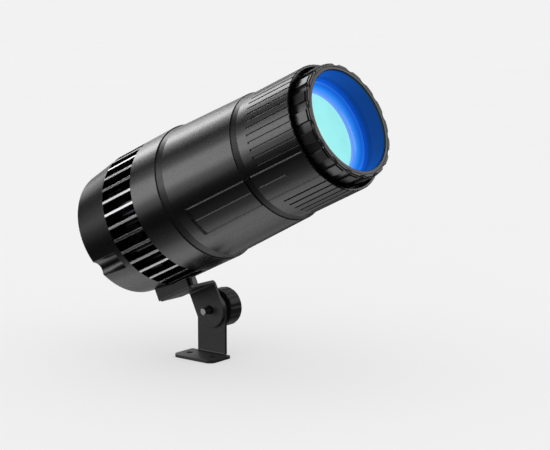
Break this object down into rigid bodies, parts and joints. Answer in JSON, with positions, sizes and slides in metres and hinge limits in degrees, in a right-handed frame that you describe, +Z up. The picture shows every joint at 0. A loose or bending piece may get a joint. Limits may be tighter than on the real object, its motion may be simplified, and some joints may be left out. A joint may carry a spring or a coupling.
{
  "type": "pinspot light",
  "caption": "Round black pinspot lamp with a zoom ring, vented rear housing, side covers and a tilting foot bracket clamped by a knob.",
  "frame": {"origin": "centre of the two foot holes, on the underside of the foot plate", "axes": "+Z up, +X the way the beam points seen from above, -Y the side of the lamp away from the knob"},
  "size_m": [0.2785, 0.119, 0.2529],
  "materials": {
    "bracket_black": "satin black powder coat",
    "housing_black": "satin black moulded ABS",
    "ring_black": "semi-gloss black moulded plastic",
    "knob_black": "satin black phenolic",
    "zinc": "bright zinc",
    "black_screw": "black oxide",
    "aluminium_dark": "black anodised",
    "aluminium_plain": "bright",
    "blue_hood": "deep blue satin",
    "azure_ring": "azure gloss",
    "lens_acrylic": "coated acrylic, cyan",
    "lens_glass": "clear",
    "pcb_green": "solder mask",
    "component": "dark",
    "capacitor": "sleeved can",
    "ferrite": "ferrite",
    "led_white": "phosphor",
    "fan_black": "moulded",
    "ir_red": "dark red filter",
    "rocker_black": "gloss",
    "brass_spacer": "turned"
  },
  "bodies": {
    "base": {"foot_bracket": "bracket_black"},
    "knob": {"tilt_knob": "knob_black", "tilt_screw": "zinc", "knob_washer": "zinc"},
    "rotor": {"fan_rotor": "fan_black"},
    "rocker": {"power_rocker": "rocker_black"},
    "button": {"mode_button": "rocker_black"},
    "ring": {"zoom_ring": "ring_black", "hood_liner": "blue_hood", "ring_retainer": "aluminium_dark"},
    "carrier": {"lens_carrier": "azure_ring", "main_lens": "lens_acrylic", "lens_retainer": "azure_ring"},
    "head": {"tilt_bracket": "bracket_black", "bracket_screws": "black_screw", "rear_housing": "housing_black", "housing_screws": "black_screw", "rear_panel": "housing_black", "panel_screws": "black_screw", "power_jack": "component", "jack_nut": "brass_spacer", "switch_bezel": "component", "receiver_window": "ir_red", "control_board": "pcb_green", "tact_switch": "component", "receiver": "component", "control_spacers": "fan_black", "control_screws": "black_screw", "mid_body": "housing_black", "mid_side_covers": "housing_black", "front_sleeve": "housing_black", "front_side_covers": "housing_black", "heat_sink": "aluminium_dark", "heat_sink_screws": "black_screw", "led_board": "aluminium_plain", "led_chip": "led_white", "led_screws": "zinc", "condenser_holder": "fan_black", "condenser_lens": "lens_glass", "condenser_retainer": "fan_black", "condenser_screws": "black_screw", "guide_rods": "zinc", "fan_frame": "fan_black", "board_spacers": "brass_spacer", "board_screws": "zinc", "driver_board": "pcb_green", "driver_capacitors": "capacitor", "driver_inductor": "ferrite", "driver_transformer": "ferrite", "driver_chip": "component"}
  },
  "joints": [
    {"name": "tilt", "type": "hinge", "parent": "base", "child": "head", "pos_m": [0.0015, 0.0118, 0.0395], "axis": [0, -1, 0], "range_deg": [-45, 45]},
    {"name": "knob_turn", "type": "hinge", "parent": "head", "child": "knob", "pos_m": [0.0015, 0.0238, 0.0395], "axis": [0, 1, 0], "continuous": true},
    {"name": "zoom_turn", "type": "hinge", "parent": "head", "child": "ring", "pos_m": [0.12584, -0.0032, 0.19742], "axis": [0.9036, 0, 0.4283], "range_deg": [-135, 45]},
    {"name": "lens_slide", "type": "slide", "parent": "head", "child": "carrier", "axis": [0.9036, 0, 0.4283], "range_m": [-0.018, 0.006]},
    {"name": "fan_spin", "type": "hinge", "parent": "head", "child": "rotor", "pos_m": [-0.04766, -0.0032, 0.11519], "axis": [0.9036, 0, 0.4283], "continuous": true},
    {"name": "rocker_tip", "type": "hinge", "parent": "head", "child": "rocker", "pos_m": [-0.08564, -0.0032, 0.11711], "axis": [-0.4283, 0, 0.9036], "range_deg": [0, 16]},
    {"name": "button_press", "type": "slide", "parent": "head", "child": "button", "axis": [0.9036, 0, 0.4283], "range_m": [0, 0.0006], "stiffness_N_per_m": 400, "springref_m": -0.0005}
  ],
  "couplings": [
    {"joint": "lens_slide", "follows": "zoom_turn", "m_per_rad": 0.0076394}
  ]
}
